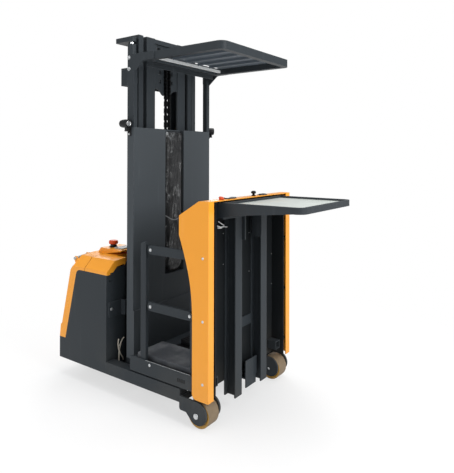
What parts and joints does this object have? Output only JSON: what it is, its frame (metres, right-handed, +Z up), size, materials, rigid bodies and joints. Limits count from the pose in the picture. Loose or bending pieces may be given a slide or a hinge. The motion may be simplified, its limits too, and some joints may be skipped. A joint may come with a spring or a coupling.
{
  "type": "order picker truck",
  "caption": "Ride-on electric order picker with a lifting operator cabin, overhead guard, picking tray and orange covers over a dark steel chassis and mast.",
  "frame": {"origin": "on the floor, under the middle of the truck's length and width", "axes": "+X forward to the picking tray, +Y to the operator's left, +Z up"},
  "size_m": [1.886, 0.9655, 2.405],
  "materials": {
    "dark_paint": "satin powder coat",
    "orange_paint": "gloss paint",
    "black_paint": "satin powder coat",
    "steel": "brushed",
    "rod_chrome": "polished",
    "cast_housing": "painted rough casting",
    "black_plastic": "matte",
    "dark_plastic": "fine grain",
    "grey_plastic": "satin",
    "red_plastic": "gloss",
    "tread": "satin",
    "mat_rubber": "matte",
    "cushion_vinyl": "semi gloss"
  },
  "bodies": {
    "chassis": {"base_frame": "dark_paint", "drive_bridge": "dark_paint", "load_forks": "dark_paint", "power_shell": "dark_paint", "bulkhead": "dark_paint", "rear_cover": "orange_paint", "hood": "orange_paint", "control_console": "orange_paint", "console_controls": "red_plastic", "rear_handles": "grey_plastic", "battery": "black_plastic", "outer_mast": "dark_paint", "mast_crosstie": "dark_paint", "chain_anchor": "dark_paint", "lift_cylinders": "dark_paint"},
    "steer": {"drive_turret": "cast_housing"},
    "drive": {"drive_wheel": "tread"},
    "inner_mast_stage": {"inner_mast": "dark_paint", "crosshead": "dark_paint", "lift_rods": "rod_chrome", "mast_rollers": "steel", "lift_chains": "steel"},
    "cabin": {"platform": "dark_paint", "floor_mats": "mat_rubber", "foot_pedal": "mat_rubber", "backrest_panel": "dark_paint", "backrest_cushion": "cushion_vinyl", "carriage": "dark_paint", "guard_frame": "dark_paint", "guard_roof": "dark_paint", "guard_light": "grey_plastic", "corner_lamps": "black_plastic", "gate_posts": "dark_paint", "front_panel": "black_paint", "side_covers": "orange_paint", "desk_shell": "dark_plastic", "desk_top": "orange_paint", "desk_controls": "black_plastic", "front_rails": "dark_paint", "receiver_tubes": "dark_paint"},
    "tray_stage": {"tray": "dark_paint", "tray_insert": "grey_plastic"},
    "load_axle_right": {"load_wheel_right": "tread"},
    "caster_right": {"caster_fork_right": "steel"},
    "caster_roll_body_right": {"caster_wheel_right": "black_plastic"},
    "gate_up_right": {"gate_upper_right": "dark_paint"},
    "gate_low_right": {"gate_lower_right": "dark_paint"},
    "gate_drop_right": {"gate_link_right": "dark_paint"},
    "load_axle_left": {"load_wheel_left": "tread"},
    "caster_left": {"caster_fork_left": "steel"},
    "caster_roll_body_left": {"caster_wheel_left": "black_plastic"},
    "gate_up_left": {"gate_upper_left": "dark_paint"},
    "gate_low_left": {"gate_lower_left": "dark_paint"},
    "gate_drop_left": {"gate_link_left": "dark_paint"}
  },
  "joints": [
    {"name": "drive_steer", "type": "hinge", "parent": "chassis", "child": "steer", "pos_m": [-0.8, 0, 0.27], "axis": [0, 0, 1], "range_deg": [-90, 90]},
    {"name": "drive_roll", "type": "hinge", "parent": "steer", "child": "drive", "pos_m": [-0.8, 0, 0.115], "axis": [0, 1, 0], "continuous": true},
    {"name": "mast_lift", "type": "slide", "parent": "chassis", "child": "inner_mast_stage", "axis": [0, 0, 1], "range_m": [0, 1.25]},
    {"name": "platform_lift", "type": "slide", "parent": "inner_mast_stage", "child": "cabin", "axis": [0, 0, 1], "range_m": [0, 1.25]},
    {"name": "tray_slide", "type": "slide", "parent": "cabin", "child": "tray_stage", "axis": [0, 0, 1], "range_m": [-0.65, 0]},
    {"name": "load_roll_right", "type": "hinge", "parent": "chassis", "child": "load_axle_right", "pos_m": [0.331, -0.4, 0.079], "axis": [0, 1, 0], "continuous": true},
    {"name": "caster_swivel_right", "type": "hinge", "parent": "chassis", "child": "caster_right", "pos_m": [-0.6, -0.206, 0.12], "axis": [0, 0, 1], "continuous": true},
    {"name": "caster_roll_right", "type": "hinge", "parent": "caster_right", "child": "caster_roll_body_right", "pos_m": [-0.626, -0.206, 0.045], "axis": [0, 1, 0], "continuous": true},
    {"name": "gate_right", "type": "hinge", "parent": "cabin", "child": "gate_up_right", "pos_m": [-0.042, -0.4495, 0.989], "axis": [0, -1, 0], "range_deg": [0, 80]},
    {"name": "gate_low_right", "type": "hinge", "parent": "cabin", "child": "gate_low_right", "pos_m": [-0.042, -0.4495, 0.638], "axis": [0, -1, 0], "range_deg": [0, 80]},
    {"name": "gate_drop_right", "type": "hinge", "parent": "gate_up_right", "child": "gate_drop_right", "pos_m": [0.274, -0.4495, 0.989], "axis": [0, -1, 0], "range_deg": [-80, 0]},
    {"name": "load_roll_left", "type": "hinge", "parent": "chassis", "child": "load_axle_left", "pos_m": [0.331, 0.4, 0.079], "axis": [0, 1, 0], "continuous": true},
    {"name": "caster_swivel_left", "type": "hinge", "parent": "chassis", "child": "caster_left", "pos_m": [-0.6, 0.206, 0.12], "axis": [0, 0, 1], "continuous": true},
    {"name": "caster_roll_left", "type": "hinge", "parent": "caster_left", "child": "caster_roll_body_left", "pos_m": [-0.626, 0.206, 0.045], "axis": [0, 1, 0], "continuous": true},
    {"name": "gate_left", "type": "hinge", "parent": "cabin", "child": "gate_up_left", "pos_m": [-0.042, 0.4495, 0.989], "axis": [0, -1, 0], "range_deg": [0, 80]},
    {"name": "gate_low_left", "type": "hinge", "parent": "cabin", "child": "gate_low_left", "pos_m": [-0.042, 0.4495, 0.638], "axis": [0, -1, 0], "range_deg": [0, 80]},
    {"name": "gate_drop_left", "type": "hinge", "parent": "gate_up_left", "child": "gate_drop_left", "pos_m": [0.274, 0.4495, 0.989], "axis": [0, -1, 0], "range_deg": [-80, 0]}
  ],
  "couplings": [
    {"joint": "platform_lift", "follows": "mast_lift", "ratio": 1},
    {"joint": "gate_low_right", "follows": "gate_right", "ratio": 1},
    {"joint": "gate_drop_right", "follows": "gate_right", "ratio": -1},
    {"joint": "gate_low_left", "follows": "gate_left", "ratio": 1},
    {"joint": "gate_drop_left", "follows": "gate_left", "ratio": -1}
  ]
}
